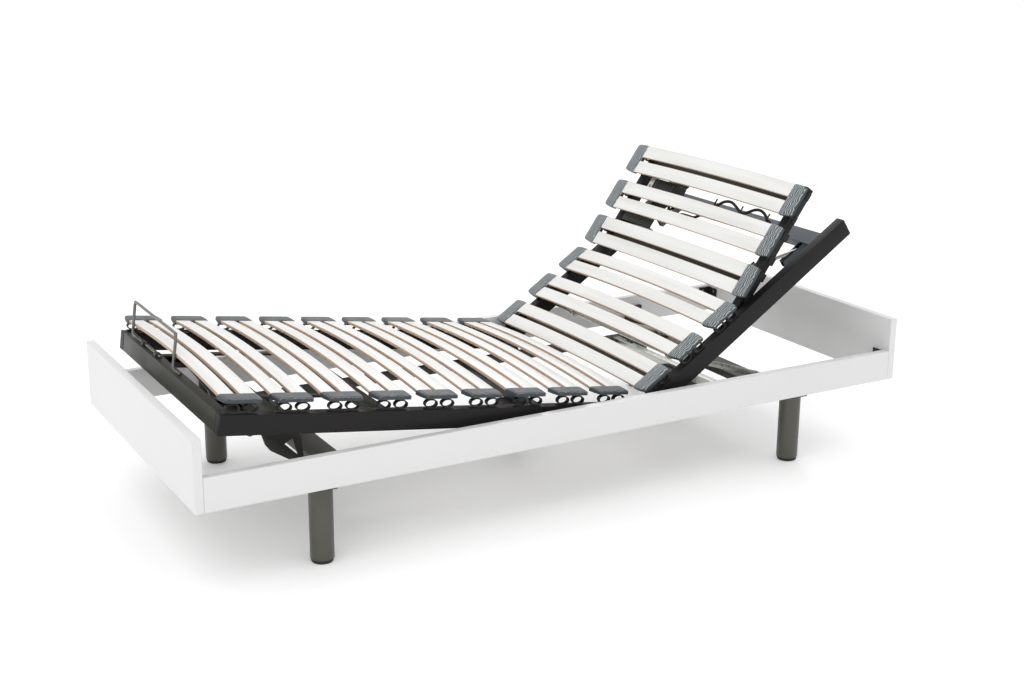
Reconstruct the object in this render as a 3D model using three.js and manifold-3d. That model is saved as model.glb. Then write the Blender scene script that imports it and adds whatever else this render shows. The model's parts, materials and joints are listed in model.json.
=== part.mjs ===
// Adjustable slatted bed base in a lacquered surround, with the back part and the foot part raised.
// Millimetres, +X towards the head end, +Y towards the right-hand side, +Z up.
// The origin is on the floor, below the middle of the surround.

import * as THREE from 'three';
import { mergeVertices } from 'three/addons/utils/BufferGeometryUtils.js';
import Module from 'manifold-3d';

const wasm = await Module();
wasm.setup();

// ---- Driving dimensions ----

const GAP = 0.3; // between pieces that rest on each other

const SURROUND = { length: 2100, width: 880, board: 22, bottom: 207, endHeight: 180, sideHeight: 85 };
const LEG = { radius: 30, x: 720, y: 381, footRadius: 26, footHeight: 8, plate: 6 };
const DECK = { top: 200, half: 411 }; // top of the welded chassis, and its reach to each side
const RAIL = { inner: 317.5, outer: 342.5, bottom: 175, from: -755, to: 676.7 };
const CROSS = { width: 73, thickness: 20, head: 713.5, foot: -631.5 };

const HIP = { x: 216, z: 227, pin: 6, hole: 7.6, lug: 19 };
const TUBE = { outer: 395, width: 30, height: 50, wall: 2.5, cutback: 22 };
const FOOT = { tilt: 8, length: 1196 };
const BACK = { tilt: 33.6, length: 793 };
const UPPER = { tilt: 21, from: 395, lift: 14, length: 392, inner: 333, outer: 361, height: 25 };

const CAP = { inner: 350, outer: 402, bottom: 51, top: 65, taper: 4 };
const SLAT = { width: 40, gap: 13, thickness: 8, reach: 372, bottom: 53, segments: 8 };
const RING = { width: 36, wall: 3, spacing: 46, sides: 12, strip: 2 };

const LEVER = { x: -585, z: 160, angle: 38.04, length: 332.7, y: 200, plate: 8, roller: 11, crank: 76 };
const STRUT = { u: 200, w: -15, angle: 18.65, length: 329, y: 250, plate: 8, roller: 8.5 };
const SHAFT = { radius: 7, bore: 8.2, eye: 14, sides: 24 }; // what the struts hang on
const STRUT_RATIO = 0.555; // how far a strut's slope changes for each degree of the back part
const BACK_RANGE = 60; // degrees from flat
const NECK = { u: 140, w: -18, angle: 22.8, length: 150, y: 300, plate: 6, eye: 7, roller: 6 };

const paint = {
  lacquer: [0xf1f1f0, 0.35, 0],
  frame: [0x2b2a28, 0.45, 0.3],
  chassis: [0x33332f, 0.5, 0.3],
  leg: [0x5b5a53, 0.35, 0.6],
  slat: [0xf3f2ec, 0.4, 0],
  rubber: [0x151515, 0.7, 0],
  zinc: [0xa4a69f, 0.35, 0.8],
  plastic: [0x1c1c1c, 0.6, 0],
};

// ---- Small tools ----

const rad = THREE.MathUtils.degToRad;
const UP = new THREE.Vector3(0, 0, 1);
const ALONG_X = new THREE.Matrix4().makeBasis(new THREE.Vector3(0, 1, 0), UP, new THREE.Vector3(1, 0, 0));

// A closed solid from a three.js geometry, ready to be joined or cut.
function solid(geometry) {
  const bare = geometry.index ? geometry.clone() : geometry;
  bare.deleteAttribute('normal');
  bare.deleteAttribute('uv');
  const merged = mergeVertices(bare, 1e-4);
  return new wasm.Manifold(
    new wasm.Mesh({
      numProp: 3,
      vertProperties: new Float32Array(merged.attributes.position.array),
      triVerts: new Uint32Array(merged.index.array),
    }),
  );
}

function join(...geometries) {
  return geometries.map(solid).reduce((all, one) => all.add(one));
}

function surface(manifold) {
  const mesh = manifold.getMesh();
  const geometry = new THREE.BufferGeometry();
  geometry.setAttribute('position', new THREE.BufferAttribute(mesh.vertProperties, 3));
  geometry.setIndex(new THREE.BufferAttribute(mesh.triVerts, 1));
  geometry.computeVertexNormals();
  return geometry;
}

function box([x0, x1], [y0, y1], [z0, z1]) {
  const geometry = new THREE.BoxGeometry(x1 - x0, y1 - y0, z1 - z0);
  return geometry.translate((x0 + x1) / 2, (y0 + y1) / 2, (z0 + z1) / 2);
}

// A round bar along Y.
function bar(radius, [y0, y1], x, z, sides = 16) {
  return new THREE.CylinderGeometry(radius, radius, y1 - y0, sides).translate(x, (y0 + y1) / 2, z);
}

// A flat plate, its outline drawn in X and Z, reaching from y0 to y1.
function plate(outline, [y0, y1], holes = []) {
  const shape = new THREE.Shape(outline.map(([x, z]) => new THREE.Vector2(x, z)));
  shape.holes = holes.map((hole) => new THREE.Path(hole.map(([x, z]) => new THREE.Vector2(x, z))));
  const geometry = new THREE.ExtrudeGeometry(shape, { depth: y1 - y0, bevelEnabled: false });
  return geometry.rotateX(Math.PI / 2).translate(0, y1, 0);
}

// A rectangular hollow tube along X, open at both ends.
function tube([x0, x1], [y0, y1], [z0, z1], wall) {
  const shape = new THREE.Shape(rectangle(y0, y1, z0, z1));
  shape.holes = [new THREE.Path(rectangle(y0 + wall, y1 - wall, z0 + wall, z1 - wall))];
  const geometry = new THREE.ExtrudeGeometry(shape, { depth: x1 - x0, bevelEnabled: false });
  return geometry.applyMatrix4(ALONG_X).translate(x0, 0, 0);
}

function rectangle(a0, a1, b0, b1) {
  return [
    new THREE.Vector2(a0, b0),
    new THREE.Vector2(a1, b0),
    new THREE.Vector2(a1, b1),
    new THREE.Vector2(a0, b1),
  ];
}

// The range of a piece on one side of the bed: side is -1 for left and 1 for right.
function span(side, inner, outer) {
  return side > 0 ? [inner, outer] : [-outer, -inner];
}

const SIDES = [
  ['left', -1],
  ['right', 1],
];

function add(group, name, geometry, [color, roughness, metalness]) {
  const material = new THREE.MeshStandardMaterial({ color, roughness, metalness });
  const mesh = new THREE.Mesh(geometry, material);
  mesh.name = name;
  group.add(mesh);
}

// ---- Surround ----

function addSurround(bed) {
  const end = SURROUND.length / 2;
  const side = SURROUND.width / 2;
  const inside = end - SURROUND.board;
  const tall = [SURROUND.bottom, SURROUND.bottom + SURROUND.endHeight];
  const low = [SURROUND.bottom, SURROUND.bottom + SURROUND.sideHeight];
  add(bed, 'footboard', box([-end, -inside], [-side, side], tall), paint.lacquer);
  add(bed, 'headboard', box([inside, end], [-side, side], tall), paint.lacquer);
  for (const [name, sign] of SIDES) {
    const across = span(sign, side - SURROUND.board, side);
    add(bed, `side_rail_${name}`, box([-inside + GAP, inside - GAP], across, low), paint.lacquer);
  }
}

// ---- Chassis and legs ----

// The upright tab, at the end of a cross-member, that the surround's side board is screwed to.
function boardTab(x, side) {
  return box([x - 30, x + 30], span(side, DECK.half - 2, 417.6), [DECK.top - LEG.plate + 0.5, 262]);
}

// The thin plate above a leg, from the chassis out to the board tab.
function legPlate(x, side, from) {
  return box([x - 30, x + 30], span(side, from, DECK.half), [DECK.top - LEG.plate, DECK.top]);
}

function crossMember(centre) {
  return [centre - CROSS.width / 2, centre + CROSS.width / 2];
}

// A hanger below the foot cross-member; the foot lever's torque tube turns in its bore.
function hanger(side) {
  const { x } = LEVER;
  const outline = [[x - 55, 184], [x - 11, 184], [x - 11, 190], [x + 10, 190], [x + 19, 172], [x + 19, 150],
    [x + 13, 142], [x - 13, 142], [x - 19, 150], [x - 19, 168], [x - 55, 178]];
  return plate(outline, span(side, 262, 270));
}

function addChassis(bed) {
  const level = [DECK.top - CROSS.thickness, DECK.top];
  const between = [-RAIL.inner + GAP, RAIL.inner - GAP];
  const ends = SIDES.flatMap(([, side]) => [legPlate(LEG.x, side, 344), boardTab(LEG.x, side)]);
  const head = join(box(crossMember(CROSS.head), [-345, 345], level), ...ends);
  add(bed, 'head_cross_member', surface(head), paint.chassis);
  const foot = join(box(crossMember(CROSS.foot), between, level), hanger(-1), hanger(1));
  const bores = bar(14, [-280, 280], LEVER.x, LEVER.z);
  add(bed, 'foot_cross_member', surface(foot.subtract(solid(bores))), paint.chassis);
  add(bed, 'guide_cross_bar', box([578, 603], between, [RAIL.bottom, DECK.top]), paint.zinc);

  for (const [name, side] of SIDES) {
    const rail = box([RAIL.from, RAIL.to], span(side, RAIL.inner, RAIL.outer), [RAIL.bottom, DECK.top]);
    const hipPlate = plate(
      [[HIP.x - 45, RAIL.bottom], [HIP.x + 45, RAIL.bottom], [HIP.x + 12, 242], [HIP.x - 12, 242]],
      span(side, RAIL.outer - 0.5, RAIL.outer + 5.5),
    );
    const pin = bar(HIP.pin, span(side, RAIL.outer + 2, 366), HIP.x, HIP.z, 12);
    const outside = [legPlate(-LEG.x, side, RAIL.outer - 1), boardTab(-LEG.x, side), hipPlate, pin];
    add(bed, `chassis_rail_${name}`, surface(join(rail, ...outside)), paint.chassis);
  }
}

function addLegs(bed) {
  const top = DECK.top - LEG.plate - GAP;
  const profile = [
    [0, 0],
    [LEG.footRadius, 0],
    [LEG.footRadius + 2, LEG.footHeight],
    [LEG.radius, LEG.footHeight + 4],
    [LEG.radius, top],
    [0, top],
  ].map(([r, z]) => new THREE.Vector2(r, z));
  for (const [endName, x] of [['foot', -LEG.x], ['head', LEG.x]]) {
    for (const [name, side] of SIDES) {
      const leg = new THREE.LatheGeometry(profile, 24).rotateX(Math.PI / 2);
      add(bed, `leg_${endName}_${name}`, leg.translate(x, side * LEG.y, 0), paint.leg);
    }
  }
}

// ---- Slats, their twin caps and the rubber rings below them ----

function slat(x) {
  const rise = 15; // camber at mid-width
  const points = [];
  for (let i = 0; i <= SLAT.segments; i += 1) {
    const t = (2 * i) / SLAT.segments - 1;
    points.push([t * SLAT.reach, SLAT.bottom + rise * (1 - t * t)]);
  }
  const lower = points.map(([y, z]) => new THREE.Vector2(y, z));
  const upper = points.map(([y, z]) => new THREE.Vector2(y, z + SLAT.thickness)).reverse();
  const shape = new THREE.Shape([...lower, ...upper]);
  const geometry = new THREE.ExtrudeGeometry(shape, { depth: SLAT.width, bevelEnabled: false });
  return geometry.applyMatrix4(ALONG_X).translate(x, 0, 0);
}

// A twin cap seen from above: a little narrower at the outer edge, with its corners cut off.
function cap(start, length, side) {
  const end = start + length;
  const { inner, outer, bottom, top, taper } = CAP;
  const across = [[start, inner], [end, inner], [end - taper, outer - 5], [end - taper - 5, outer],
    [start + taper + 5, outer], [start + taper, outer - 5]];
  const outline = across.map(([x, y]) => new THREE.Vector2(x, side * y));
  const shape = new THREE.Shape(outline);
  return new THREE.ExtrudeGeometry(shape, { depth: top - bottom, bevelEnabled: false }).translate(0, 0, bottom);
}

// One pair of slats with the twin cap at each end; lift moves it to the level of its own frame.
function addSlatPair(group, name, start, capLength, lift = 0) {
  const middle = start + capLength / 2;
  const caps = SIDES.map(([, side]) => cap(start, capLength, side));
  const slats = [middle - SLAT.gap / 2 - SLAT.width, middle + SLAT.gap / 2].map(slat);
  add(group, name, surface(join(...caps, ...slats)).translate(0, 0, -lift), paint.slat);
}

function ring(x, [y0, y1], [z0, z1]) {
  const outline = [];
  const hole = [];
  for (let i = 0; i < RING.sides; i += 1) {
    const angle = (2 * Math.PI * (i + 0.5)) / RING.sides;
    const [c, s] = [Math.cos(angle), Math.sin(angle)];
    const scale = 1 / Math.cos(Math.PI / RING.sides);
    const middle = (z0 + z1) / 2;
    const half = (z1 - z0) / 2;
    outline.push([x + (RING.width / 2) * c * scale, middle + half * s * scale]);
    hole.push([x + (RING.width / 2 - RING.wall) * c, middle + (half - RING.wall) * s]);
  }
  return plate(outline, [y0, y1], [hole]);
}

// The row of rubber rings along one side member: two rings below each cap, on a thin strip.
function addRingStrip(group, name, starts, capLength, across, bottom, top) {
  const first = starts[0] + capLength / 2 - RING.spacing / 2;
  const last = starts.at(-1) + capLength / 2 + RING.spacing / 2;
  const strip = box([first - 10, last + 10], across, [bottom, bottom + RING.strip]);
  const rings = starts.flatMap((start) =>
    [-1, 1].map((s) => {
      const x = start + capLength / 2 + (s * RING.spacing) / 2;
      return ring(x, across, [bottom + RING.strip / 2, top]);
    }),
  );
  add(group, name, surface(join(strip, ...rings)), paint.rubber);
}

function steps(first, pitch, count) {
  return Array.from({ length: count }, (_, i) => first + i * pitch);
}

// ---- Foot part ----

function tubeAcross(side) {
  return span(side, TUBE.outer - TUBE.width, TUBE.outer);
}

// A hinge lug on the inner face of a side tube, drilled for the hip pin.
function lug(direction, across) {
  const round = bar(HIP.lug, across, 0, 0, 20);
  const reach = direction > 0 ? [0, 90] : [-90, 0];
  return join(round, box(reach, across, [-HIP.lug, HIP.lug]));
}

function hipBore(side) {
  return solid(bar(HIP.hole, span(side, 340, 370), 0, 0, 12));
}

function channelAcross([x0, x1], [z0, z1], wall, open) {
  const outer = box([x0, x1], [-364.7, 364.7], [z0, z1]);
  const gap = open > 0 ? [x0 + wall, x1 + 1] : [x0 - 1, x1 - wall];
  return solid(outer).subtract(solid(box(gap, [-400, 400], [z0 + wall, z1 - wall])));
}

function addFootPart(bed) {
  const foot = new THREE.Group();
  foot.position.set(HIP.x, 0, HIP.z);
  foot.rotation.y = rad(FOOT.tilt);
  bed.add(foot);

  const half = TUBE.height / 2;
  for (const [name, side] of SIDES) {
    const beam = tube([-FOOT.length, -TUBE.cutback], tubeAcross(side), [-half, half], TUBE.wall);
    const whole = solid(beam).add(lug(-1, span(side, 358.5, 366))).subtract(hipBore(side));
    add(foot, `foot_side_tube_${name}`, surface(whole), paint.frame);
  }
  add(foot, 'foot_end_crossbar', surface(channelAcross([-1196, -1166], [-half, half], 3, 1)), paint.frame);

  // The lift crossbar and its twin, with the two channels that the lever's rollers run in.
  const channels = SIDES.map(([, side]) => {
    const outer = box([-1150, -1005], span(side, LEVER.y - 16, LEVER.y + 16), [-24, 6]);
    const inner = box([-1160, -995], span(side, LEVER.y - 13, LEVER.y + 13), [-30, 1.5]);
    return solid(outer).subtract(solid(inner));
  });
  const straps = SIDES.map(([, side]) => box([-1045, -790], span(side, 190, 210), [6, 12]));
  const bars = [[-1090, -1040], [-802, -762]].map((along) => box(along, [-364.7, 364.7], [5, 25]));
  const lift = channels.reduce((all, one) => all.add(one), join(...bars, ...straps));
  add(foot, 'foot_lift_crossbar', surface(lift), paint.frame);

  const starts = steps(-1190.5, 128.25, 9);
  starts.forEach((start, i) => addSlatPair(foot, `foot_slat_pair_${i + 1}`, start, 95));
  for (const [name, side] of SIDES) {
    const across = span(side, 380, 392);
    addRingStrip(foot, `foot_rubber_rings_${name}`, starts, 95, across, half + GAP, CAP.bottom - GAP);
  }
  addRetainer(foot);
}

// The bent wire bail that keeps a mattress from sliding off the foot end.
function addRetainer(foot) {
  const route = [
    [-1182, 90, 30], [-1182, 180, 30], [-1182, 255, 30], [-1185, 280, 31], [-1192, 291, 36], [-1194.5, 295, 48],
    [-1194.5, 296, 80], [-1194.5, 296, 116], [-1194.5, 291, 124], [-1194.5, 280, 127], [-1194.5, 130, 127],
    [-1194.5, -29, 127], [-1194.5, -40, 124], [-1194.5, -45, 116], [-1194.5, -45, 80], [-1194.5, -45, 48],
    [-1192, -48, 36], [-1185, -55, 31], [-1182, -69, 30],
  ].map((point) => new THREE.Vector3(...point));
  const path = new THREE.CatmullRomCurve3(route, false, 'centripetal');
  add(foot, 'mattress_retainer', roundRod(path, 4, 44), paint.zinc);
}

function roundRod(path, radius, count) {
  const section = new THREE.Shape();
  section.absarc(0, 0, radius, 0, 2 * Math.PI);
  return new THREE.ExtrudeGeometry(section, { steps: count, extrudePath: path, curveSegments: 4 });
}

// ---- Back part and upper-back part ----

function addBackPart(bed) {
  const back = new THREE.Group();
  back.position.set(HIP.x, 0, HIP.z);
  back.rotation.y = -rad(BACK.tilt);
  bed.add(back);

  const half = TUBE.height / 2;
  for (const [name, side] of SIDES) {
    const beam = tube([TUBE.cutback, BACK.length], tubeAcross(side), [-half, half], TUBE.wall);
    const spacer = box([32, 90], span(side, 355, 366), [-HIP.lug, HIP.lug]);
    const stub = bar(6, span(side, 331, 366), UPPER.from, UPPER.lift, 12);
    const whole = solid(beam)
      .add(lug(1, span(side, 350, 356.5)))
      .add(solid(spacer))
      .add(solid(stub))
      .subtract(hipBore(side));
    add(back, `back_side_tube_${name}`, surface(whole), paint.frame);
  }
  add(back, 'back_hip_crossbar', surface(channelAcross([92, 122], [-20, 20], 3, 1)), paint.frame);
  addStrutShaft(back);
  addHeadCrossbar(back);

  const starts = steps(23, 131, 3);
  starts.forEach((start, i) => addSlatPair(back, `back_slat_pair_${i + 1}`, start, 95));
  for (const [name, side] of SIDES) {
    const across = span(side, 380, 392);
    addRingStrip(back, `back_rubber_rings_${name}`, starts, 95, across, half + GAP, CAP.bottom - GAP);
  }
  addStruts(back);
  addUpperBack(back);
}

// Two upright cheeks with a pin's width between them and the strut that hangs there.
function cheeks(y, clear, thickness, outline) {
  return [
    plate(outline, [y - clear - thickness, y - clear]),
    plate(outline, [y + clear, y + clear + thickness]),
  ];
}

// The round shaft across the back part that the two struts hang on.
function addStrutShaft(back) {
  const shaft = bar(SHAFT.radius, [-364.7, 364.7], STRUT.u, STRUT.w, SHAFT.sides);
  add(back, 'back_strut_shaft', shaft, paint.zinc);
}

// The head crossbar, with the slotted rails that the two neck struts slide in.
function addHeadCrossbar(back) {
  const outline = [[612, -24], [705, -24], [705, -2], [612, -2]];
  const rails = SIDES.flatMap(([, side]) => cheeks(side * NECK.y, 6, 3, outline));
  const floors = SIDES.map(([, side]) => box([612, 705], span(side, NECK.y - 8, NECK.y + 8), [-24, -21]));
  const whole = join(box([695, 745], [-364.7, 364.7], [-25, 0]), ...rails, ...floors);
  add(back, 'back_head_crossbar', surface(whole), paint.frame);
}

// The steel struts that prop the back part up: an eye at the top, a roller end at the bottom.
function addStruts(back) {
  for (const [name, side] of SIDES) {
    const strut = new THREE.Group();
    strut.position.set(STRUT.u, 0, STRUT.w);
    strut.rotation.y = rad(BACK.tilt + STRUT.angle);
    back.add(strut);
    const middle = side * STRUT.y;
    const bore = bar(SHAFT.bore, [middle - 6, middle + 6], 0, 0, SHAFT.sides);
    const whole = join(
      bar(SHAFT.eye, [middle - 5, middle + 5], 0, 0, SHAFT.sides),
      box([10, STRUT.length], [middle - STRUT.plate / 2, middle + STRUT.plate / 2], [-8, 8]),
      bar(STRUT.roller, [middle - 12, middle + 12], STRUT.length, 0),
    ).subtract(solid(bore));
    add(strut, `back_strut_${name}`, surface(whole), paint.zinc);
  }
}

function addUpperBack(back) {
  const upper = new THREE.Group();
  upper.position.set(UPPER.from, 0, UPPER.lift);
  upper.rotation.y = -rad(UPPER.tilt);
  back.add(upper);

  const half = UPPER.height / 2;
  for (const [name, side] of SIDES) {
    const across = span(side, UPPER.inner, UPPER.outer);
    const member = solid(box([-14, UPPER.length], across, [-half, half]));
    const bore = solid(bar(HIP.hole, span(side, 320, 370), 0, 0, 12));
    add(upper, `upper_side_member_${name}`, surface(member.subtract(bore)), paint.frame);
  }

  const between = [-UPPER.inner + GAP, UPPER.inner - GAP];
  const outline = [[74, -half - 2], [74, half], [96, half], [NECK.u + 10, NECK.w + 6], [NECK.u + 6, NECK.w - 9],
    [NECK.u - 8, NECK.w - 9]];
  const lugs = SIDES.flatMap(([, side]) => cheeks(side * NECK.y, 5, 3, outline));
  add(upper, 'upper_crossbar', surface(join(box([70, 100], between, [-half, half]), ...lugs)), paint.frame);
  add(upper, 'upper_top_crossbar', box([330, 360], between, [-half, half]), paint.frame);
  const drive = join(box([235, 262], between, [-half, half]), box([255, 292], [141, 250], [-10, 28]));
  add(upper, 'control_box_crossbar', surface(drive), paint.plastic);

  const lift = UPPER.lift;
  const starts = steps(28.5, 128, 3);
  starts.forEach((start, i) => addSlatPair(upper, `upper_slat_pair_${i + 1}`, start, 95, lift));
  for (const [name, side] of SIDES) {
    const across = span(side, 346, 358);
    addRingStrip(upper, `upper_rubber_rings_${name}`, starts, 95, across, half + GAP, CAP.bottom - lift - GAP);
  }
  addNeckStruts(upper);
  addLead(upper);
}

// The ratchet struts between the upper-back part and the head crossbar.
function addNeckStruts(upper) {
  for (const [name, side] of SIDES) {
    const strut = new THREE.Group();
    strut.position.set(NECK.u, 0, NECK.w);
    strut.rotation.y = rad(UPPER.tilt + NECK.angle);
    upper.add(strut);
    const middle = side * NECK.y;
    const whole = join(
      bar(NECK.eye, [middle - 3, middle + 3], 0, 0),
      box([0, NECK.length], [middle - NECK.plate / 2, middle + NECK.plate / 2], [-5, 5]),
      bar(NECK.roller, [middle - 4.5, middle + 4.5], NECK.length, 0, 12),
    );
    add(strut, `neck_strut_${name}`, surface(whole), paint.zinc);
  }
}

// The lead from the control box, held by clips along the crossbar.
function addLead(upper) {
  const route = [
    [268, 138], [262, 132], [240, 130], [215, 126], [203, 112], [197, 88], [199, 66], [206, 50], [207, 20],
    [209, -10], [232, -40], [258, -66], [279, -94], [284, -122], [276, -150], [263, -182], [268, -206], [281, -232],
    [284, -258], [274, -284], [256, -304], [250, -318],
  ].map(([x, y]) => new THREE.Vector3(x, y, 20));
  const path = new THREE.CatmullRomCurve3(route);
  add(upper, 'control_lead', roundRod(path, 3, 48), paint.rubber);
}

// ---- Drives ----

// The foot lever: a torque tube, two braced arms with rollers, and the crank that the motor pushes.
function addFootLever(bed) {
  const lever = new THREE.Group();
  lever.position.set(LEVER.x, 0, LEVER.z);
  lever.rotation.y = rad(LEVER.angle);
  bed.add(lever);

  const reach = -LEVER.length;
  const outline = [[11, 6], [-3, 13], [-16, -5], [-66, -64], [-110, -29], [-149, 13], [reach + 8, 11],
    [reach - 11, 0], [reach, -11], [-239, -38], [-215, -54], [-196, -59], [-115, -52], [-77, -92], [-57, -88],
    [3, -15]];
  const window = [[-124, -33], [-174, -27], [-165, -5]];
  const arms = SIDES.map(([, side]) =>
    plate(outline, span(side, LEVER.y - LEVER.plate / 2, LEVER.y + LEVER.plate / 2), [window]),
  );
  const rollers = SIDES.map(([, side]) =>
    bar(LEVER.roller, span(side, LEVER.y - 10, LEVER.y + 10), reach, 0),
  );
  const [dx, dz] = [0.54 * LEVER.crank, -0.842 * LEVER.crank];
  const crank = [[-9, 5], [9, 9], [dx + 10, dz + 3], [dx + 4, dz - 9], [dx - 8, dz - 6]];
  const torque = bar(13, [-275, 275], 0, 0);
  add(lever, 'foot_lever', surface(join(torque, ...arms, ...rollers, ...cheeks(0, 10, 4, crank))), paint.chassis);
}

function addDrives(bed) {
  const rodLevel = 84.3;
  const eye = -592.1; // where the rod's eye is, between the cheeks of the crank
  const along = (radius, [x0, x1], sides = 16) =>
    new THREE.CylinderGeometry(radius, radius, x1 - x0, sides)
      .rotateZ(Math.PI / 2)
      .translate((x0 + x1) / 2, 0, rodLevel);
  const motor = join(
    along(13, [-500, 0]),
    box([-8, 72], [-32, 32], [58, 176]),
    box([20, 45], [-RAIL.inner + GAP, RAIL.inner - GAP], [RAIL.bottom, DECK.top]),
  ).subtract(solid(along(10, [-520, -330])));
  add(bed, 'foot_motor', surface(motor), paint.plastic);
  const rod = join(bar(10, [-5, 5], eye, rodLevel), along(8, [eye, -420]));
  add(bed, 'foot_push_rod', surface(rod), paint.zinc);

  const backMotor = join(
    box([500, 577.5], [-40, 40], [128, 190]),
    box([577, 676.7], [-22, 22], [128, 174.6]),
  );
  add(bed, 'back_motor', surface(backMotor), paint.plastic);
}

// Where the middle of a back strut's roller is when the back part is tilted from flat by an angle.
function rollerPlace(tilt) {
  const [c, s] = [Math.cos(rad(tilt)), Math.sin(rad(tilt))];
  const slope = rad(STRUT.angle + STRUT_RATIO * (tilt - BACK.tilt));
  return [
    HIP.x + STRUT.u * c - STRUT.w * s + STRUT.length * Math.cos(slope),
    HIP.z + STRUT.u * s + STRUT.w * c - STRUT.length * Math.sin(slope),
  ];
}

// How high a ramp may reach at a place along it: just below the roller, wherever that goes.
function rampTop(x) {
  const clear = STRUT.roller + 1;
  const heights = steps(0, 1, BACK_RANGE + 1)
    .map(rollerPlace)
    .filter(([at]) => Math.abs(x - at) < clear)
    .map(([at, z]) => z - Math.sqrt(clear ** 2 - (x - at) ** 2));
  return Math.min(...heights);
}

// The two nylon ramps below the back struts: the roller runs on twin tracks, the strut between them.
function addRamps(bed) {
  const [from, to, step] = [596, 752, 4];
  const floor = DECK.top + GAP;
  const top = steps(from, step, (to - from) / step + 1).map((x) => [x, rampTop(x)]);
  const outline = [[from, floor], ...top, [to, floor]];
  for (const [name, side] of SIDES) {
    const middle = side * STRUT.y;
    const base = box([from, to], [middle - 14, middle + 14], [floor, floor + 1.5]);
    add(bed, `strut_ramp_${name}`, surface(join(base, ...cheeks(middle, 6, 8, outline))), paint.plastic);
  }
}

// ---- The whole bed ----

const bed = new THREE.Group();
addSurround(bed);
addChassis(bed);
addLegs(bed);
addFootPart(bed);
addBackPart(bed);
addFootLever(bed);
addDrives(bed);
addRamps(bed);

export default bed;
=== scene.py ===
"""Looks of an adjustable slatted bed base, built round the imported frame. Metres, Z up, +X to the head end."""

import json
import math

import bmesh
import bpy
from mathutils import Matrix, Vector

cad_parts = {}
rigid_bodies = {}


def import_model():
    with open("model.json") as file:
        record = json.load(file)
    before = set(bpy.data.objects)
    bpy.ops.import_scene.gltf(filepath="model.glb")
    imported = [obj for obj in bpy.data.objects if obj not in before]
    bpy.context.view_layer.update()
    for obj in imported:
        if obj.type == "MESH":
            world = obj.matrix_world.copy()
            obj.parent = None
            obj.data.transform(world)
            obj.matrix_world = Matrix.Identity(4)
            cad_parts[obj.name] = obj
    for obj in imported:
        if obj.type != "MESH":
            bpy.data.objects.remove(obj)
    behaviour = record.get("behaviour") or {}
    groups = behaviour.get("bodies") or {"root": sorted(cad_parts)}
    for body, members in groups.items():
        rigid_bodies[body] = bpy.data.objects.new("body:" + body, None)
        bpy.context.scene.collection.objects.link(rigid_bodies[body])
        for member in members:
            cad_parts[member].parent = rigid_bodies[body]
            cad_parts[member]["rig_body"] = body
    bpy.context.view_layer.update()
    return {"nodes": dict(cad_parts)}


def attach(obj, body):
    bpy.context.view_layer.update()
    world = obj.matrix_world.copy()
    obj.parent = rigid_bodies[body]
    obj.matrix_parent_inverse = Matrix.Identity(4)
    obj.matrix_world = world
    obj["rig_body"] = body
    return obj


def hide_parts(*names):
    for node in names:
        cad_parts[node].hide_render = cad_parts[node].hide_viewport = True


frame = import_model()

MM = 0.001
SIDES = (("left", -1), ("right", 1))

# ---- The frames that the tilted parts are drawn in ----


def turned(origin, degrees):
    return Matrix.Translation(origin) @ Matrix.Rotation(math.radians(degrees), 4, "Y")


# Degrees from flat as drawn: the foot part, the back part and the upper-back part.
FOOT_TILT, BACK_TILT, UPPER_TILT = 8, 33.6, 54.6

BASE = Matrix.Identity(4)
HIP = Vector((0.216, 0, 0.227))
FOOT = turned(HIP, FOOT_TILT)
BACK = turned(HIP, -BACK_TILT)
KNEE = BACK @ Vector((0.395, 0, 0.014))
UPPER = turned(KNEE, -UPPER_TILT)

# ---- Materials ----


def new_material(name):
    mat = bpy.data.materials.new(name)
    mat.use_nodes = True
    return mat, mat.node_tree.nodes, mat.node_tree.links


def coordinates(nodes, links, scale, kind="Object"):
    """The piece's own coordinates, stretched by scale."""
    where = nodes.new("ShaderNodeTexCoord")
    mapping = nodes.new("ShaderNodeMapping")
    mapping.inputs["Scale"].default_value = scale
    links.new(where.outputs[kind], mapping.inputs["Vector"])
    return mapping.outputs["Vector"]


def noise(nodes, links, scale, detail, stretch=(1, 1, 1)):
    texture = nodes.new("ShaderNodeTexNoise")
    texture.inputs["Scale"].default_value = scale
    texture.inputs["Detail"].default_value = detail
    links.new(coordinates(nodes, links, stretch), texture.inputs["Vector"])
    return texture.outputs["Fac"]


def ramp(nodes, links, source, stops):
    """Turns a value into a colour; each stop is a place from 0 to 1 and a colour."""
    node = nodes.new("ShaderNodeValToRGB")
    elements = node.color_ramp.elements
    while len(elements) < len(stops):
        elements.new(0.5)
    for element, (place, color) in zip(elements, stops):
        element.position = place
        element.color = (*color, 1)
    links.new(source, node.inputs["Fac"])
    return node.outputs["Color"]


def spread(nodes, links, source, low, high):
    """Maps the middle of a noise to the values from low to high."""
    node = nodes.new("ShaderNodeMapRange")
    node.inputs["From Min"].default_value = 0.3
    node.inputs["From Max"].default_value = 0.7
    node.inputs["To Min"].default_value = low
    node.inputs["To Max"].default_value = high
    links.new(source, node.inputs["Value"])
    return node.outputs["Result"]


def bump(nodes, links, source, strength, distance):
    node = nodes.new("ShaderNodeBump")
    node.inputs["Strength"].default_value = strength
    node.inputs["Distance"].default_value = distance
    links.new(source, node.inputs["Height"])
    return node.outputs["Normal"]


def shade(color, factor):
    return tuple(min(1.0, c * factor) for c in color)


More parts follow.
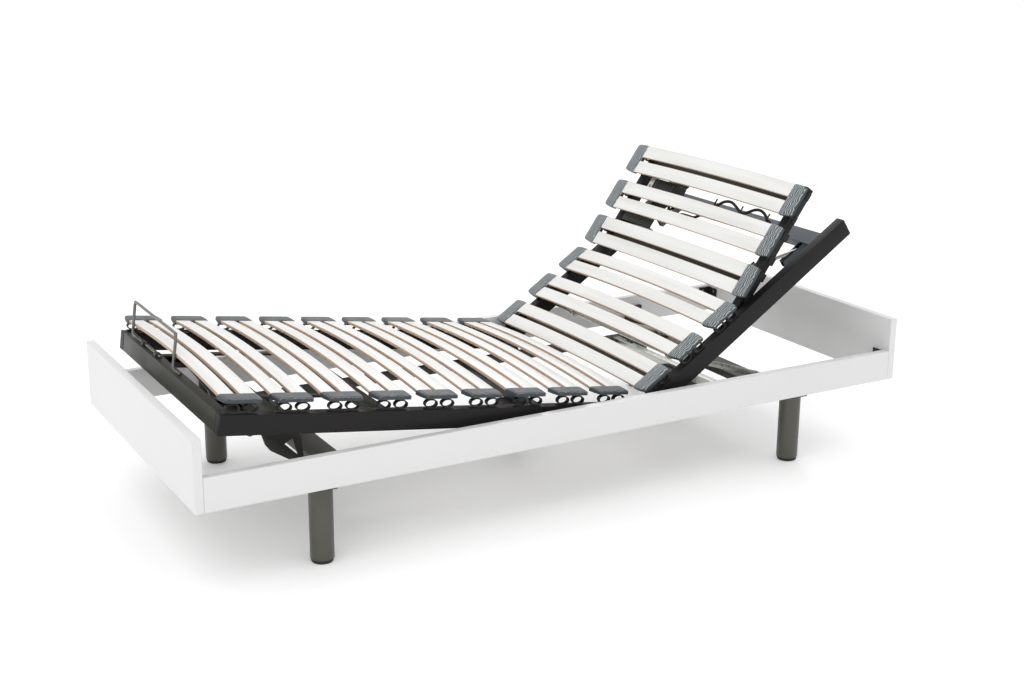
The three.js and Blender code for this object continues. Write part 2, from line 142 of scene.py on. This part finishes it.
def surface(name, color, rough, metal=0.0, coat=0.0, vary=0.08, blotch=9.0, grain=900.0, depth=0.00012,
            wear=0.0, sheen=0.5):
    """A painted, plated or moulded surface: blotches of tone, varied gloss, a fine grain, and worn edges."""
    mat, nodes, links = new_material(name)
    shader = nodes["Principled BSDF"]
    shader.inputs["Metallic"].default_value = metal
    shader.inputs["Coat Weight"].default_value = coat
    shader.inputs["Coat Roughness"].default_value = 0.12
    shader.inputs["Specular IOR Level"].default_value = sheen
    cloud = noise(nodes, links, blotch, 4)
    tint = ramp(nodes, links, cloud, [(0.3, shade(color, 1 - vary)), (0.7, shade(color, 1 + vary))])
    if wear:
        geometry = nodes.new("ShaderNodeNewGeometry")
        edge = ramp(nodes, links, geometry.outputs["Pointiness"], [(0.5, (0, 0, 0)), (0.56, (1, 1, 1))])
        mix = nodes.new("ShaderNodeMix")
        mix.data_type = "RGBA"
        links.new(edge, mix.inputs["Factor"])
        links.new(tint, mix.inputs["A"])
        mix.inputs["B"].default_value = (*shade(color, 1 + wear), 1)
        tint = mix.outputs["Result"]
    links.new(tint, shader.inputs["Base Color"])
    fine = noise(nodes, links, grain, 2)
    links.new(spread(nodes, links, cloud, rough * 0.85, rough * 1.15), shader.inputs["Roughness"])
    links.new(bump(nodes, links, fine, 0.25, depth), shader.inputs["Normal"])
    return mat


def slat_face():
    """White foil over laminated beech: faint long streaks of the wood below it, and a soft gloss."""
    mat, nodes, links = new_material("slat_foil")
    shader = nodes["Principled BSDF"]
    streaks = noise(nodes, links, 34, 5, (1, 0.06, 1))
    stops = [(0.3, (0.70, 0.695, 0.67)), (0.5, (0.765, 0.765, 0.745)), (0.7, (0.81, 0.81, 0.80))]
    tint = ramp(nodes, links, streaks, stops)
    links.new(tint, shader.inputs["Base Color"])
    links.new(spread(nodes, links, streaks, 0.30, 0.42), shader.inputs["Roughness"])
    links.new(bump(nodes, links, streaks, 0.2, 0.0002), shader.inputs["Normal"])
    return mat


def slat_edge():
    """The sawn edge of a laminated slat: pale beech veneers with brown glue lines between them."""
    mat, nodes, links = new_material("slat_veneers")
    shader = nodes["Principled BSDF"]
    shader.inputs["Roughness"].default_value = 0.55
    where = nodes.new("ShaderNodeUVMap")
    where.uv_map = "UVMap"
    split = nodes.new("ShaderNodeSeparateXYZ")
    links.new(where.outputs["UV"], split.inputs["Vector"])
    pale = (0.62, 0.47, 0.35)
    line = (0.20, 0.10, 0.055)
    stops = [(0.0, pale), (0.30, pale), (0.34, line), (0.39, line), (0.43, pale), (0.72, pale), (0.76, line),
             (0.82, pale)]
    veneers = ramp(nodes, links, split.outputs["Y"], stops)
    mix = nodes.new("ShaderNodeMix")
    mix.data_type = "RGBA"
    mix.blend_type = "MULTIPLY"
    mix.inputs["Factor"].default_value = 0.7
    fibres = noise(nodes, links, 60, 5, (1, 0.05, 1))
    links.new(veneers, mix.inputs["A"])
    links.new(ramp(nodes, links, fibres, [(0.3, (0.72, 0.68, 0.64)), (0.7, (1, 1, 1))]), mix.inputs["B"])
    links.new(mix.outputs["Result"], shader.inputs["Base Color"])
    links.new(bump(nodes, links, fibres, 0.3, 0.0003), shader.inputs["Normal"])
    return mat


def relief(name, slate, light):
    """Slate-grey moulded caps with wavy raised lines along their tops."""
    mat, nodes, links = new_material(name)
    shader = nodes["Principled BSDF"]
    wave = nodes.new("ShaderNodeTexWave")
    wave.wave_type = "BANDS"
    wave.bands_direction = "X"
    wave.inputs["Scale"].default_value = 1.0
    wave.inputs["Distortion"].default_value = 7.0
    wave.inputs["Detail"].default_value = 1.0
    wave.inputs["Detail Scale"].default_value = 1.2
    links.new(coordinates(nodes, links, (2.4, 4.5, 1), "UV"), wave.inputs["Vector"])
    lines = wave.outputs["Fac"]
    stops = [(0.0, shade(slate, 0.85)), (0.6, slate), (0.85, shade(light, 0.7)), (1.0, light)]
    tint = ramp(nodes, links, lines, stops)
    links.new(tint, shader.inputs["Base Color"])
    fine = noise(nodes, links, 25, 3)
    links.new(spread(nodes, links, fine, 0.42, 0.56), shader.inputs["Roughness"])
    links.new(bump(nodes, links, lines, 0.5, 0.0008), shader.inputs["Normal"])
    return mat


MATERIALS = {
    "lacquer": surface("white_lacquer", (0.69, 0.69, 0.69), 0.32,
                       coat=0.2, vary=0.012, blotch=3, grain=260, depth=0.00006),
    "frame": surface("dark_powder_coat", (0.0055, 0.005, 0.0052), 0.38,
                     vary=0.18, blotch=7, grain=1500, wear=2.5, sheen=0.16),
    "chassis": surface("chassis_powder_coat", (0.02, 0.0195, 0.017), 0.44,
                       vary=0.18, blotch=7, grain=1500, wear=1.5, sheen=0.3),
    "crossbar": surface("olive_powder_coat", (0.016, 0.0165, 0.013), 0.42,
                        vary=0.16, blotch=8, grain=1500, wear=1.5, sheen=0.25),
    "slate_bar": surface("slate_powder_coat", (0.036, 0.043, 0.052), 0.38,
                         vary=0.12, blotch=8, grain=1500, wear=1.0, sheen=0.4),
    "leg": surface("leg_metallic_paint", (0.085, 0.083, 0.07), 0.34,
                   metal=0.6, coat=0.15, vary=0.1, blotch=14, grain=2400),
    "glide": surface("leg_glide", (0.02, 0.02, 0.02), 0.6, vary=0.1, sheen=0.3),
    "foil": slat_face(),
    "veneer": slat_edge(),
    "cap": relief("cap_relief", (0.075, 0.092, 0.100), (0.45, 0.48, 0.49)),
    "cap_side": surface("cap_plastic", (0.035, 0.045, 0.052), 0.45,
                        vary=0.14, blotch=30, grain=1100, sheen=0.4),
    "rubber": surface("black_rubber", (0.008, 0.008, 0.008), 0.5,
                      vary=0.2, blotch=40, grain=1300, depth=0.0002, sheen=0.35),
    "zinc": surface("zinc_plate", (0.42, 0.42, 0.39), 0.3,
                    metal=0.9, vary=0.25, blotch=60, grain=700, wear=0.3),
    "plastic": surface("moulded_plastic", (0.012, 0.012, 0.013), 0.45,
                       vary=0.14, blotch=20, grain=1700, depth=0.0002, sheen=0.35),
    "nylon": surface("nylon", (0.02, 0.02, 0.02), 0.38, vary=0.1, blotch=20, grain=1200, sheen=0.4),
    "wire": surface("bright_wire", (0.17, 0.17, 0.16), 0.28, metal=0.9, vary=0.2, blotch=60, grain=700),
    # A darker copy of the cap relief with weaker lines: painted shade for the foot row's caps, which are the
    # same moulding as the others.
    "cap_painted_shade": relief("cap_relief_painted_shade", (0.040, 0.048, 0.053), (0.15, 0.17, 0.18)),
    "steel": surface("screw_steel", (0.35, 0.35, 0.34), 0.3, metal=1.0, vary=0.1, blotch=60, grain=900),
}

# ---- Mesh tools: every shape is drawn in millimetres in its own frame ----


def place(name, bm, where, body, looks, smooth=40, replaces=()):
    """Turns a bmesh drawn in millimetres into a piece that rides on a body."""
    bmesh.ops.recalc_face_normals(bm, faces=bm.faces)
    bm.transform(where @ Matrix.Scale(MM, 4))
    mesh = bpy.data.meshes.new(name)
    bm.to_mesh(mesh)
    bm.free()
    looks = [looks] if isinstance(looks, str) else looks
    for look in looks:
        mesh.materials.append(MATERIALS[look])
    mesh.shade_smooth()
    mesh.set_sharp_from_angle(angle=math.radians(smooth))
    obj = bpy.data.objects.new(name, mesh)
    bpy.context.scene.collection.objects.link(obj)
    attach(obj, body)
    if replaces:
        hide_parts(*replaces)


def soften(bm, width, segments=2, degrees=30):
    """Rounds every edge that is sharper than the given angle."""
    limit = math.radians(degrees)
    edges = [e for e in bm.edges if len(e.link_faces) == 2 and e.calc_face_angle(0) > limit]
    bmesh.ops.bevel(bm, geom=edges, offset=width, segments=segments, profile=0.6, affect="EDGES",
                    clamp_overlap=True)


def block(bm, xs, ys, zs):
    """Adds a box to bm, from its two ends in X, in Y and in Z."""
    made = bmesh.ops.create_cube(bm, size=1)["verts"]
    size = [max(s) - min(s) for s in (xs, ys, zs)]
    middle = [(s[0] + s[1]) / 2 for s in (xs, ys, zs)]
    bmesh.ops.scale(bm, vec=size, verts=made)
    bmesh.ops.translate(bm, vec=middle, verts=made)


def boxes(name, sizes, ease, where, body, look):
    """Places one piece made of boxes with eased edges."""
    bm = bmesh.new()
    for xs, ys, zs in sizes:
        block(bm, xs, ys, zs)
    soften(bm, ease)
    place(name, bm, where, body, look)


def rod(bm, start, end, radius, sides=24, radius_end=None):
    """Adds a round bar from start to end, tapered if it has a second radius."""
    a, b = Vector(start), Vector(end)
    turn = (b - a).to_track_quat("Z", "Y").to_matrix().to_4x4()
    matrix = Matrix.Translation((a + b) / 2) @ turn
    bmesh.ops.create_cone(bm, cap_ends=True, segments=sides, radius1=radius, radius2=radius_end or radius,
                          depth=(b - a).length, matrix=matrix)


def outline_plate(bm, outline, ys):
    """Adds a plate with an outline in X and Z, from ys[0] to ys[1]."""
    face = bm.faces.new([bm.verts.new((x, ys[0], z)) for x, z in outline])
    moved = bmesh.ops.extrude_face_region(bm, geom=[face])["geom"]
    verts = [v for v in moved if isinstance(v, bmesh.types.BMVert)]
    bmesh.ops.translate(bm, vec=(0, ys[1] - ys[0], 0), verts=verts)


def sweep(bm, points, radius, sides, smooth):
    """Adds a round tube along a smooth curve through the points, with smooth steps from each to the next."""
    points = [Vector(p) for p in points]
    path = []
    for i in range(len(points) - 1):
        around = [points[min(max(i + k, 0), len(points) - 1)] for k in (-1, 0, 1, 2)]
        for step in range(smooth):
            path.append(catmull(around, step / smooth))
    path.append(points[-1])
    rings = []
    side = None
    for i, p in enumerate(path):
        along = (path[min(i + 1, len(path) - 1)] - path[max(i - 1, 0)]).normalized()
        if side is None:
            side = along.orthogonal()
        side = (side - along * side.dot(along)).normalized()
        other = along.cross(side)
        turns = [2 * math.pi * k / sides for k in range(sides)]
        rings.append([bm.verts.new(p + radius * (math.cos(t) * side + math.sin(t) * other)) for t in turns])
    join_rings(bm, rings)
    bm.faces.new(rings[0])
    bm.faces.new(rings[-1])


def join_rings(bm, rings):
    """Adds the faces between each ring of vertices and the next."""
    for a, b in zip(rings, rings[1:]):
        for k in range(len(a)):
            n = (k + 1) % len(a)
            bm.faces.new((a[k], a[n], b[n], b[k]))


def catmull(around, t):
    """The point at t from 0 to 1 on the smooth curve between the middle two of four points."""
    a, b, c, d = around
    return 0.5 * (2 * b + (c - a) * t + (2 * a - 5 * b + 4 * c - d) * t * t
                  + (3 * b - a - 3 * c + d) * t ** 3)


def screw(name, where, at, axis, body, radius, height):
    """A domed screw head with a hexagon socket, its axis along one of the frame's axes."""
    bm = bmesh.new()
    sides = 24
    # Each ring's radius and height as shares of the head's; the last two are the hexagonal socket.
    profile = [(1, 0), (1, 0.45), (0.86, 0.8), (0.5, 1), (0.42, 0.98), (0.42, 0.3)]
    socket = 4
    rings = []
    for index, (across, up) in enumerate(profile):
        ring = []
        for k in range(sides):
            t = 2 * math.pi * k / sides
            r = radius * across
            if index >= socket:
                r *= math.cos(math.pi / 6) / math.cos((t % (math.pi / 3)) - math.pi / 6)
            ring.append(bm.verts.new((r * math.cos(t), r * math.sin(t), height * up)))
        rings.append(ring)
    join_rings(bm, rings)
    bm.faces.new(rings[0])
    bm.faces.new(rings[-1])
    turn = Vector(axis).to_track_quat("Z", "Y").to_matrix().to_4x4()
    place(name, bm, where @ Matrix.Translation(Vector(at) * MM) @ turn, body, "steel", smooth=35)


def refine(node, look, width, segments=2):
    """A finished copy of a CAD node, with its edges rounded, that stands for the node."""
    source = frame["nodes"][node]
    bm = bmesh.new()
    bm.from_mesh(source.data)
    bmesh.ops.transform(bm, matrix=Matrix.Scale(1 / MM, 4), verts=bm.verts)
    bmesh.ops.remove_doubles(bm, verts=bm.verts, dist=0.01)
    bmesh.ops.dissolve_limit(bm, angle_limit=math.radians(1), verts=bm.verts, edges=bm.edges)
    soften(bm, width, segments)
    place(f"{node}_finished", bm, BASE, source["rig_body"], look, 35, (node,))


# ---- Surround, chassis and legs ----

# The inner faces of the end boards and side boards, with 0.2 mm to spare.
END_FACE, SIDE_FACE = 1027.8, 417.8
BRACKET_THICK, BRACKET_REACH, BRACKET_HEIGHTS = 3, 42, (238, 288)
LEG_X, LEG_Y = 720, 381


def add_surround():
    for node in ("footboard", "headboard", "side_rail_left", "side_rail_right"):
        refine(node, "lacquer", 1.6, 3)
    for end_name, end in (("foot", -1), ("head", 1)):
        for name, side in SIDES:
            end_face, side_face = end * END_FACE, side * SIDE_FACE
            thick_x, thick_y = end_face - end * BRACKET_THICK, side_face - side * BRACKET_THICK
            reach_x, reach_y = end_face - end * BRACKET_REACH, side_face - side * BRACKET_REACH
            boxes(f"corner_bracket_{end_name}_{name}",
                  [(sorted((end_face, thick_x)), sorted((side_face, reach_y)), BRACKET_HEIGHTS),
                   (sorted((thick_x, reach_x)), sorted((side_face, thick_y)), BRACKET_HEIGHTS)],
                  0.8, BASE, "base", "plastic")
            for k, height in enumerate((251, 277)):
                label = f"corner_screw_{end_name}_{name}"
                at = (end * 1024.8, side * 390, height)
                screw(f"{label}_end{k}", BASE, at, (-end, 0, 0), "base", 4, 2)
                at = (end * 1000, side * 414.8, height)
                screw(f"{label}_side{k}", BASE, at, (0, -side, 0), "base", 4, 2)


def add_chassis():
    for node in ("head_cross_member", "foot_cross_member", "chassis_rail_left", "chassis_rail_right"):
        refine(node, "chassis", 1.2)
    refine("guide_cross_bar", "zinc", 1.5, 3)
    for end_name, x in (("foot", -LEG_X), ("head", LEG_X)):
        for name, side in SIDES:
            for k, dx in enumerate((-18, 18)):
                at = (x + dx, side * 408.8, 240)
                screw(f"board_bolt_{end_name}_{name}_{k}", BASE, at, (0, -side, 0), "base", 6.5, 3.5)
            at = (x, side * LEG_Y, 200)
            screw(f"leg_bolt_{end_name}_{name}", BASE, at, (0, 0, 1), "base", 9, 1.6)
    for name, side in SIDES:
        screw(f"hip_pin_head_{name}", BASE, (216, side * 366, 227), (0, side, 0), "base", 8, 3)


def add_legs():
    for end_name, x in (("foot", -LEG_X), ("head", LEG_X)):
        for name, side in SIDES:
            bm = bmesh.new()
            rod(bm, (0, 0, 10), (0, 0, 193.7), 30, 72)
            soften(bm, 1.4, 3)
            where = Matrix.Translation(Vector((x, side * LEG_Y, 0)) * MM)
            node = f"leg_{end_name}_{name}"
            place(f"{node}_tube", bm, where, "base", "leg", 35, (node,))
            bm = bmesh.new()
            rod(bm, (0, 0, 0), (0, 0, 6), 26, 60, 28)
            rod(bm, (0, 0, 5), (0, 0, 12), 28.2, 60)
            soften(bm, 1, 2, 40)
            place(f"{node}_glide", bm, where, "base", "glide", 35)


# ---- Slats, caps and rings ----

CAMBER = 15
SLAT_REACH = 372
SLAT_LOW = 53
SLAT_THICK = 8
SLAT_WIDTH = 40
SLAT_GAP = 13
PAIR_LENGTH = 95
CAP_INNER, CAP_OUTER = 349.6, 402
CAP_LOW, CAP_HIGH = 51, 64.5
RING_OFFSET = 23


def slat_height(y):
    return SLAT_LOW + CAMBER * (1 - (y / SLAT_REACH) ** 2)


def add_slat(name, x, lift, where, body, replaces=()):
    """One cambered laminated slat with eased edges; its veneers follow the camber."""
    bm = bmesh.new()
    uv = bm.loops.layers.uv.new("UVMap")
    half, thick, ease = SLAT_WIDTH / 2, SLAT_THICK, 1.3
    section = [(-half, ease), (-half + ease * 0.3, ease * 0.3), (-half + ease, 0),
               (half - ease, 0), (half - ease * 0.3, ease * 0.3), (half, ease),
               (half, thick - ease), (half - ease * 0.3, thick - ease * 0.3), (half - ease, thick),
               (-half + ease, thick), (-half + ease * 0.3, thick - ease * 0.3), (-half, thick - ease)]
    underside, top = 2, 8
    steps = 36
    rings = []
    for i in range(steps + 1):
        y = SLAT_REACH * (2 * i / steps - 1)
        z = slat_height(y) - lift
        rings.append([bm.verts.new((x + half + dx, y, z + dz)) for dx, dz in section])
    for i, (a, b) in enumerate(zip(rings, rings[1:])):
        for k in range(len(section)):
            n = (k + 1) % len(section)
            face = bm.faces.new((a[k], a[n], b[n], b[k]))
            face.material_index = 0 if k in (underside, top) else 1
            heights = (section[k][1], section[n][1], section[n][1], section[k][1])
            for loop, height, along in zip(face.loops, heights, (i, i, i + 1, i + 1)):
                loop[uv].uv = (along / steps, height / thick)
    for ring in (rings[0], rings[-1]):
        bm.faces.new(ring).material_index = 1
    place(name, bm, where, body, ["foil", "veneer"], 50, replaces)


def cap_top(u, v, start, length):
    """A point on a cap's crowned top, for u along the row and v outward, each from 0 to 1."""
    width = CAP_OUTER - CAP_INNER
    edge = min(u, 1 - u) * length
    rim = min(v, 1 - v) * width
    crown = 1.2 * math.sin(math.pi * v) * (1 - (2 * u - 1) ** 4)
    dip = 0.9 * math.exp(-((u - 0.5) * length / 6) ** 2) * (1 - v)
    fall = 2.6 * math.exp(-edge / 1.6) + 2.2 * math.exp(-rim / 1.8)
    corner = max(0.0, 6 - (1 - v) * width) / 6
    reach = length + 1 - 13 * max(0.0, v - 0.45) - 9 * (1 - math.sqrt(1 - corner ** 2))
    return start + length / 2 + (u - 0.5) * reach, CAP_INNER + v * width, CAP_HIGH + crown - dip - fall


def add_cap(name, start, length, lift, side, where, body, look):
    """A twin cap: a crowned hood over two slat ends, with a dip between the slats."""
    bm = bmesh.new()
    uv = bm.loops.layers.uv.new("UVMap")
    along, across = 22, 12
    grid = []
    for i in range(along + 1):
        row = []
        for j in range(across + 1):
            x, y, z = cap_top(i / along, j / across, start, length)
            row.append(bm.verts.new((x, side * y, z - lift)))
        grid.append(row)
    faces = []
    for i in range(along):
        for j in range(across):
            corners = ((i, j), (i + 1, j), (i + 1, j + 1), (i, j + 1))
            face = bm.faces.new([grid[a][b] for a, b in corners])
            for loop, (a, b) in zip(face.loops, corners):
                # Shifted from cap to cap, so that no two have the same lines.
                loop[uv].uv = (b / across + 0.37 * start / 131, a / along + start * 0.011)
            faces.append(face)
    walls = bmesh.ops.extrude_edge_only(bm, edges=[e for e in bm.edges if e.is_boundary])["geom"]
    for v in walls:
        if isinstance(v, bmesh.types.BMVert):
            v.co.z = CAP_LOW - lift + 3.5 * (abs(v.co.y) - CAP_INNER) / (CAP_OUTER - CAP_INNER)
    for face in bm.faces:
        if face not in faces:
            face.material_index = 1
    base = bmesh.ops.holes_fill(bm, edges=[e for e in bm.edges if e.is_boundary], sides=0)["faces"]
    for face in base:
        face.material_index = 1
    place(name, bm, where, body, [look, "cap_side"], 50)


def add_rings(name, middle_x, bottom, top, ys, where, body, replaces=()):
    """Two flattened rubber rings on a small base plate, with the studs that hold them above and below."""
    bm = bmesh.new()
    middle_y = (ys[0] + ys[1]) / 2
    half_width, half_height, wall = 18, (top - bottom - 2.4) / 2, 2.8
    z = bottom + 2.2 + half_height
    sides = 28
    turns = [2 * math.pi * k / sides for k in range(sides)]
    for s in (-1, 1):
        x = middle_x + s * RING_OFFSET
        loops = []
        for y in ys:
            for inset in (0, wall):
                wide, high = half_width - inset, half_height - inset
                loops.append([bm.verts.new((x + wide * math.cos(t), y, z + high * math.sin(t)))
                              for t in turns])
        join_rings(bm, (loops[0], loops[1], loops[3], loops[2], loops[0]))
        rod(bm, (x, middle_y, bottom + 1), (x, middle_y, bottom + 4), 5, 12)
        rod(bm, (x, middle_y, top - 3), (x, middle_y, top + 0.2), 5, 12)
    block(bm, (middle_x - 40, middle_x + 40), (ys[0] + 1, ys[1] - 1), (bottom, bottom + 2.2))
    place(name, bm, where, body, "rubber", 45, replaces)


def add_slat_row(prefix, starts, lift, ys, bottom, where, body):
    """Slats, caps and rings at each start; the row lies lift lower, and its rings stand on bottom."""
    for index, start in enumerate(starts):
        label = f"{prefix}_{index + 1}"
        middle = start + PAIR_LENGTH / 2
        node = f"{prefix}_slat_pair_{index + 1}"
        add_slat(f"{label}_slat_a", middle - SLAT_GAP / 2 - SLAT_WIDTH, lift, where, body, (node,))
        add_slat(f"{label}_slat_b", middle + SLAT_GAP / 2, lift, where, body)
        for name, side in SIDES:
            # The foot row's caps take the darker copy of the cap relief, which is painted shade.
            look = "cap_painted_shade" if prefix == "foot" else "cap"
            add_cap(f"{label}_cap_{name}", start, PAIR_LENGTH, lift, side, where, body, look)
            across = sorted((side * ys[0], side * ys[1]))
            strip = (f"{prefix}_rubber_rings_{name}",) if index == 0 else ()
            add_rings(f"{label}_rings_{name}", middle, bottom, CAP_LOW - lift, across, where, body, strip)


# ---- Foot part ----


# The plugs fill the hollow of the side tubes with 0.5 mm to spare; the rings stand on top of the tubes.
PLUG_SIDES, PLUG_HEIGHTS = (368, 392), (-22, 22)
RING_SIDES, RING_BOTTOM = (380, 392), 25.3


def add_foot_part():
    starts = [-1190.5 + 128.25 * i for i in range(9)]
    add_slat_row("foot", starts, 0, RING_SIDES, RING_BOTTOM, FOOT, "foot_section")
    for name, side in SIDES:
        refine(f"foot_side_tube_{name}", "frame", 2.2, 3)
        plug = ((-1196, -1150), sorted(side * y for y in PLUG_SIDES), PLUG_HEIGHTS)
        boxes(f"foot_end_plug_{name}", [plug], 1.5, FOOT, "foot_section", "plastic")
    refine("foot_end_crossbar", "crossbar", 1.2)
    refine("foot_lift_crossbar", "crossbar", 1.2)
    bm = bmesh.new()
    route = [(-1182, 90, 30), (-1182, 180, 30), (-1182, 255, 30), (-1185, 280, 31), (-1192, 291, 36),
             (-1194.5, 295, 48), (-1194.5, 296, 80), (-1194.5, 296, 116), (-1194.5, 291, 124),
             (-1194.5, 280, 127), (-1194.5, 130, 127), (-1194.5, -29, 127), (-1194.5, -40, 124),
             (-1194.5, -45, 116), (-1194.5, -45, 80), (-1194.5, -45, 48), (-1192, -48, 36),
             (-1185, -55, 31), (-1182, -69, 30)]
    sweep(bm, route, 4, 14, 8)
    place("mattress_retainer_wire", bm, FOOT, "foot_section", "wire", 60, ("mattress_retainer",))
    clamp = [(-1191, 25), (-1173, 25), (-1173, 27), (-1176, 35.5), (-1188, 35.5), (-1191, 27)]
    for k, y in enumerate((120, 230)):
        bm = bmesh.new()
        outline_plate(bm, clamp, (y - 9, y + 9))
        soften(bm, 1)
        place(f"retainer_clamp_{k}", bm, FOOT, "foot_section", "crossbar")


# ---- Back part and upper-back part ----


def add_back_part():
    starts = [23 + 131 * i for i in range(3)]
    add_slat_row("back", starts, 0, RING_SIDES, RING_BOTTOM, BACK, "back_section")
    for name, side in SIDES:
        refine(f"back_side_tube_{name}", "frame", 2.2, 3)
        plug = ((750, 793), sorted(side * y for y in PLUG_SIDES), PLUG_HEIGHTS)
        boxes(f"back_end_plug_{name}", [plug], 1.5, BACK, "back_section", "plastic")
        screw(f"knee_pin_head_{name}", BACK, (395, side * 331, 14), (0, -side, 0), "back_section", 8, 3)
        refine(f"back_strut_{name}", "zinc", 1.2)
    refine("back_hip_crossbar", "crossbar", 1.2)
    refine("back_strut_shaft", "zinc", 0.8)
    refine("back_head_crossbar", "slate_bar", 1.5)


def add_saddles(starts):
    """The moulded rubber saddles that carry the rings along the two upper side members."""
    for index, start in enumerate(starts):
        middle = start + PAIR_LENGTH / 2
        # The last pair is shallower: it comes down on the head crossbar when the bed is flat.
        low = -13 if index == 2 else -20
        for name, side in SIDES:
            bm = bmesh.new()
            block(bm, (middle - 40, middle + 40), sorted((side * 330, side * 362)), (max(low, -15), 14))
            for s in (-1, 1):
                lobe = sorted((middle + s * 26, middle + s * 50))
                block(bm, lobe, sorted((side * 334, side * 364)), (low, 2))
            soften(bm, 3, 3)
            for s in (-1, 1):
                x = middle + s * RING_OFFSET
                rod(bm, (x, side * 358, 20), (x, side * 376, 20), 7, 20, 5)
            place(f"upper_saddle_{index + 1}_{name}", bm, UPPER, "upper_back", "rubber", 45)


def add_control_box():
    """The lid, the bracket, the handset's plate and the lead's clips of the control box."""
    bm = bmesh.new()
    block(bm, (257, 290), (145, 246), (28, 31))
    soften(bm, 1.2)
    for k in range(7):
        block(bm, (260, 287), (152 + k * 13, 156 + k * 13), (30, 32))
    place("control_box_lid", bm, UPPER, "upper_back", "plastic")
    bracket = [((252, 294), (250, 252), (-12, 33)), ((252, 294), (250, 276), (28, 30))]
    boxes("control_box_bracket", bracket, 0.7, UPPER, "upper_back", "zinc")
    for k, u in enumerate((263, 283)):
        screw(f"control_bracket_screw_{k}", UPPER, (u, 264, 30), (0, 0, 1), "upper_back", 4.5, 2.5)
    plate = [((138, 172), (180, 330), (9, 13)), ((138, 141), (180, 330), (-6, 13))]
    boxes("handset_plate", plate, 0.8, UPPER, "upper_back", "crossbar")
    for k, y in enumerate((104, -62, -182, -300)):
        ys = (y - 2.5, y + 2.5)
        clip = [((240, 266), ys, (12, 15.5)), ((261, 266), ys, (12, 31)), ((261, 282), ys, (28.5, 31))]
        boxes(f"lead_clip_{k}", clip, 0.8, UPPER, "upper_back", "plastic")


def add_upper_back():
    starts = [28.5 + 128 * i for i in range(3)]
    add_slat_row("upper", starts, 14, (346, 358), 12.8, UPPER, "upper_back")
    add_saddles(starts)
    for name, side in SIDES:
        refine(f"upper_side_member_{name}", "frame", 2, 3)
        refine(f"neck_strut_{name}", "zinc", 1)
    refine("upper_crossbar", "crossbar", 1.5)
    refine("upper_top_crossbar", "crossbar", 2, 3)
    refine("control_box_crossbar", "crossbar", 2, 3)
    add_control_box()
    bm = bmesh.new()
    route = [(268, 138, 22), (262, 130, 23), (240, 129, 25), (215, 126, 27), (203, 112, 28),
             (197, 88, 28), (199, 66, 28), (206, 50, 28), (207, 20, 28), (209, -10, 28), (232, -40, 27),
             (258, -66, 26), (279, -94, 28), (284, -122, 28), (276, -150, 27), (263, -182, 25),
             (268, -206, 26), (281, -232, 28), (284, -258, 28), (274, -284, 25), (256, -304, 22),
             (250, -318, 20)]
    sweep(bm, route, 4.4, 12, 6)
    place("control_lead_cable", bm, UPPER, "upper_back", "rubber", 60, ("control_lead",))


# ---- Drives ----


def add_drives():
    refine("foot_lever", "chassis", 1.2)
    for k in range(5):
        rib = ((1 + k * 14, 6 + k * 14), (-33.5, 33.5), (66, 150))
        boxes(f"foot_motor_rib_{k}", [rib], 1, BASE, "base", "plastic")
        rib = ((512 + k * 13, 517 + k * 13), (-41.5, 41.5), (136, 182))
        boxes(f"back_motor_rib_{k}", [rib], 1, BASE, "base", "plastic")
    refine("foot_motor", "plastic", 2.5, 3)
    refine("foot_push_rod", "zinc", 0.8)
    refine("back_motor", "plastic", 3, 3)
    for name, _ in SIDES:
        refine(f"strut_ramp_{name}", "nylon", 0.6)


add_surround()
add_chassis()
add_legs()
add_foot_part()
add_back_part()
add_upper_back()
add_drives()

# ---- Floor, light and camera ----


def add_floor():
    bm = bmesh.new()
    bmesh.ops.create_grid(bm, x_segments=1, y_segments=1, size=30)
    mesh = bpy.data.meshes.new("floor")
    bm.to_mesh(mesh)
    bm.free()
    white = surface("floor_white", (0.93, 0.93, 0.93), 0.6, vary=0.004, blotch=0.6, grain=90, depth=0.00002)
    shader = white.node_tree.nodes["Principled BSDF"]
    shader.inputs["Emission Color"].default_value = (1, 1, 1, 1)
    shader.inputs["Emission Strength"].default_value = 0.14
    mesh.materials.append(white)
    floor = bpy.data.objects.new("floor", mesh)
    bpy.context.scene.collection.objects.link(floor)


def add_light(name, place_at, aim, size, power):
    data = bpy.data.lights.new(name, "AREA")
    data.shape = "DISK"
    data.size = size
    data.energy = power
    lamp = bpy.data.objects.new(name, data)
    lamp.location = place_at
    lamp.rotation_euler = (Vector(aim) - Vector(place_at)).to_track_quat("-Z", "Y").to_euler()
    bpy.context.scene.collection.objects.link(lamp)


def add_camera():
    """The photograph's view, fitted to the surround: the camera's place, its three angles and its lens."""
    data = bpy.data.cameras.new("camera")
    data.sensor_width = 36
    data.lens = 54.10
    data.shift_x = 0.01383
    data.shift_y = -0.00766
    data.clip_end = 200
    azimuth, down, roll = math.radians(60.586), math.radians(16.435), math.radians(0.305)
    look = Vector((math.cos(down) * math.cos(azimuth), math.cos(down) * math.sin(azimuth), -math.sin(down)))
    right = look.cross(Vector((0, 0, 1))).normalized()
    up = right.cross(look)
    x = math.cos(roll) * right + math.sin(roll) * up
    y = -math.sin(roll) * right + math.cos(roll) * up
    camera = bpy.data.objects.new("camera", data)
    matrix = Matrix((x, y, -look)).transposed().to_4x4()
    matrix.translation = (-2.03742, -3.58023, 1.58979)
    camera.matrix_world = matrix
    bpy.context.scene.collection.objects.link(camera)
    bpy.context.scene.camera = camera


def add_world():
    world = bpy.data.worlds.new("studio")
    world.use_nodes = True
    background = world.node_tree.nodes["Background"]
    background.inputs["Color"].default_value = (1, 1, 1, 1)
    background.inputs["Strength"].default_value = 1.0
    bpy.context.scene.world = world
    bpy.context.scene.view_settings.view_transform = "Standard"


add_floor()
add_light("key", (-2.5, -2.0, 4.2), (0, 0, 0.2), 3.0, 40)
add_light("back_rim", (2.5, 3.5, 3.2), (0, 0, 0.3), 2.5, 25)
add_camera()
add_world()
